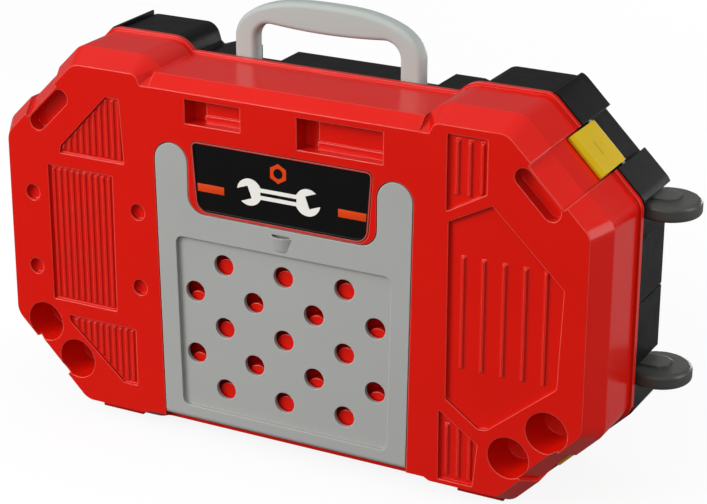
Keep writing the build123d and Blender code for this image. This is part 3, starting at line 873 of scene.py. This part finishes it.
@dataclass
class ClosedCase:
    """The case and everything that rides on it."""

    frame: dict
    plate: PlatePrint = field(default_factory=PlatePrint)
    screws: BackScrews = field(default_factory=BackScrews)
    grip: CarryHandle = field(default_factory=CarryHandle)
    materials: dict[str, bpy.types.Material] = field(default_factory=dict)

    def material(self, finish: Finish) -> bpy.types.Material:
        """Gives a finish's material, made once.

        Args:
            finish: the finish.

        Returns:
            Its material.
        """
        if finish.name not in self.materials:
            self.materials[finish.name] = finish.make()
        return self.materials[finish.name]

    def node_finish(self, name: str) -> Finish:
        """Chooses a CAD node's finish.

        Args:
            name: the node's name.

        Returns:
            Its finish.
        """
        if name in NODE_FINISHES:
            return NODE_FINISHES[name]
        if "pin" in name:
            return STEEL
        return YELLOW_POM if name.startswith("latch") else DARK_PP

    def dress_mouldings(self) -> None:
        """Gives every CAD node its finish."""
        for name, obj in self.frame["nodes"].items():
            finish = self.node_finish(name)
            dress(obj, self.material(finish))
            log.info("%s dressed in %s", name, finish.name)

    def add_details(self) -> None:
        """Adds the plate's print, the screws and the grip, each on its body."""
        for pieces, body in ((self.plate.build(), "front"), (self.screws.build(), "case")):
            for piece, finish in pieces:
                dress(piece, self.material(finish))
                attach(piece, body)
                log.info("%s rides on %s in %s", piece.name, body, finish.name)
        handle = self.grip.build(self.frame["nodes"]["handle"])
        dress(handle, self.material(PALE_PP))
        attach(handle, "handle")
        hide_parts("handle")
        log.info("%s stands for the handle in %s", handle.name, PALE_PP.name)


@dataclass(frozen=True)
class Softbox:
    """One soft rectangular lamp, which faces the middle of the case."""

    name: str
    place: tuple[float, float, float]
    size: tuple[float, float]
    watts: float
    aim: tuple[float, float, float] = (0, 0, 130)

    def hang(self) -> None:
        """Hangs the lamp, out of the camera's sight."""
        data = bpy.data.lights.new(self.name, "AREA")
        data.shape = "RECTANGLE"
        data.size, data.size_y = self.size[0] * MM, self.size[1] * MM
        data.energy = self.watts
        lamp = bpy.data.objects.new(self.name, data)
        bpy.context.collection.objects.link(lamp)
        lamp.visible_camera = False
        lamp.location = Vector(self.place) * MM
        ahead = Vector(self.aim) * MM - lamp.location
        lamp.rotation_euler = ahead.to_track_quat("-Z", "Y").to_euler()


@dataclass
class Studio:
    """A pale floor, soft lamps and the camera."""

    camera_place: tuple[float, float, float] = (634.9, -1161.2, 648.6)
    azimuth_deg: float = 27.69
    elevation_deg: float = 21.41
    roll_deg: float = -0.14
    focal_px: float = 2172.0
    sensor: float = 36.0
    sight: float = 50000.0
    # The floor: what lights the case from below, and what the camera sees
    floor_size: float = 9000.0
    dark_front_y: float = -250.0
    pale_back_y: float = 250.0
    front_paint: str = "4A4A4A"
    back_paint: str = "8E8E8E"
    seen_paint: str = "F2F2F2"
    # The dome: the height, as a share of straight up, from which it brightens
    # and where it is full, and its strength there
    brighten_from: float = 0.45
    bright_from: float = 0.80
    horizon_light: float = 0.17
    zenith_light: float = 0.78
    # How much of the clean white is glow on the floor, and how much gloss sees
    clean_share: float = 0.88
    mirror_share: float = 0.06
    lamps: tuple[Softbox, ...] = (
        Softbox("key_softbox", (-1400, -1700, 1250), (1400, 1400), 55),
        Softbox("fill_softbox", (500, -2200, 900), (2200, 1600), 17),
        Softbox("right_softbox", (1500, 250, 600), (700, 900), 12),
        Softbox("back_softbox", (150, 1900, 160), (1200, 300), 14))

    def seen_share(self, tree: bpy.types.NodeTree) -> bpy.types.NodeSocket:
        """Works out how much of the clean white a ray sees.

        The camera and what is seen through the object take it whole, and gloss
        and metal take a small share, so that the plastic keeps its depth.

        Args:
            tree: the node tree to add to.

        Returns:
            A socket from 0 to 1.
        """
        path = add_node(tree, "ShaderNodeLightPath")
        mirror = add_node(tree, "ShaderNodeMath", {"operation": "MULTIPLY"},
                          {1: self.mirror_share}, {0: path.outputs["Is Glossy Ray"]})
        through = add_node(tree, "ShaderNodeMath", {"operation": "ADD"},
                           links={0: path.outputs["Is Camera Ray"],
                                  1: path.outputs["Is Transmission Ray"]})
        whole = add_node(tree, "ShaderNodeMath", {"operation": "ADD", "use_clamp": True},
                         links={0: mirror.outputs[0], 1: through.outputs[0]})
        return whole.outputs[0]

    def build_floor(self) -> None:
        """Lays a floor, dark in front so that the gloss stays deep, and pale behind.

        The camera sees it as an even near white with the object's soft shadow.
        """
        bpy.ops.object.select_all(action="DESELECT")
        bpy.ops.mesh.primitive_plane_add(size=self.floor_size * MM, location=(0, 0, 0))
        floor = bpy.context.object
        floor.name = "floor"
        # Matt paint on board: even and without shine, so that the shadow is soft
        material = empty_material("matt_painted_board_white")
        tree = material.node_tree
        seen = self.seen_share(tree)
        place = add_node(tree, "ShaderNodeTexCoord").outputs["Object"]
        split = add_node(tree, "ShaderNodeSeparateXYZ", links={"Vector": place})
        depth = add_node(tree, "ShaderNodeMapRange",
                         inputs={"From Min": self.dark_front_y * MM,
                                 "From Max": self.pale_back_y * MM},
                         links={"Value": split.outputs["Y"]})
        graded = add_node(tree, "ShaderNodeMix", {"data_type": "RGBA"},
                          {MIX_FIRST: linear(self.front_paint),
                           MIX_SECOND: linear(self.back_paint)},
                          {MIX_SHARE: depth.outputs["Result"]})
        colour = add_node(tree, "ShaderNodeMix", {"data_type": "RGBA"},
                          {MIX_SECOND: linear(self.seen_paint)},
                          {MIX_SHARE: seen, MIX_FIRST: graded.outputs[MIX_RESULT]})
        paint = add_node(tree, "ShaderNodeBsdfDiffuse",
                         links={"Color": colour.outputs[MIX_RESULT]})
        glow = add_node(tree, "ShaderNodeEmission",
                        inputs={"Color": (1, 1, 1, 1), "Strength": 1.0})
        share = add_node(tree, "ShaderNodeMath", {"operation": "MULTIPLY"},
                         {1: self.clean_share}, {0: seen})
        mix = add_node(tree, "ShaderNodeMixShader",
                       links={0: share.outputs[0], 1: paint.outputs[0], 2: glow.outputs[0]})
        add_node(tree, "ShaderNodeOutputMaterial", links={"Surface": mix.outputs[0]})
        dress(floor, material)

    def build_world(self) -> None:
        """Sets a soft dome, brightest overhead, and white where the camera sees it."""
        world = bpy.data.worlds.new("studio")
        bpy.context.scene.world = world
        world.use_nodes = True
        tree = world.node_tree
        tree.nodes.clear()
        way = add_node(tree, "ShaderNodeTexCoord").outputs["Generated"]
        split = add_node(tree, "ShaderNodeSeparateXYZ", links={"Vector": way})
        level = add_node(tree, "ShaderNodeMapRange",
                         inputs={"From Min": self.brighten_from, "From Max": self.bright_from,
                                 "To Min": self.horizon_light, "To Max": self.zenith_light},
                         links={"Value": split.outputs["Z"]})
        dome = add_node(tree, "ShaderNodeBackground", inputs={"Color": (1, 1, 1, 1)},
                        links={"Strength": level.outputs["Result"]})
        white = add_node(tree, "ShaderNodeBackground",
                         inputs={"Color": (1, 1, 1, 1), "Strength": 1.0})
        mix = add_node(tree, "ShaderNodeMixShader",
                       links={0: self.seen_share(tree), 1: dome.outputs[0], 2: white.outputs[0]})
        add_node(tree, "ShaderNodeOutputWorld", links={"Surface": mix.outputs[0]})

    def build_camera(self) -> None:
        """Puts the camera where the photograph was taken from."""
        azimuth = math.radians(self.azimuth_deg)
        elevation = math.radians(self.elevation_deg)
        roll = math.radians(self.roll_deg)
        ahead = Vector((-math.sin(azimuth) * math.cos(elevation),
                        math.cos(azimuth) * math.cos(elevation), -math.sin(elevation)))
        level = Vector((math.cos(azimuth), math.sin(azimuth), 0))
        down = ahead.cross(level)
        right = math.cos(roll) * level + math.sin(roll) * down
        under = -math.sin(roll) * level + math.cos(roll) * down
        turn = Matrix((right, -under, -ahead)).transposed()
        data = bpy.data.cameras.new("camera")
        data.sensor_width = self.sensor
        data.sensor_fit = "HORIZONTAL"
        data.lens = self.focal_px * self.sensor / IMAGE_WIDTH_PX
        data.clip_end = self.sight * MM
        camera = bpy.data.objects.new("camera", data)
        bpy.context.collection.objects.link(camera)
        place = Matrix.Translation(Vector(self.camera_place) * MM)
        camera.matrix_world = place @ turn.to_4x4()
        bpy.context.scene.camera = camera

    def build(self) -> None:
        """Builds the whole studio."""
        self.build_floor()
        self.build_world()
        for lamp in self.lamps:
            lamp.hang()
        self.build_camera()
        log.info("studio ready")


def main() -> None:
    """Builds the case, dresses it and sets the studio."""
    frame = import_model()
    case = ClosedCase(frame)
    case.dress_mouldings()
    case.add_details()
    Studio().build()
    bpy.context.scene.view_settings.view_transform = "Standard"


if __name__ == "__main__":
    main()
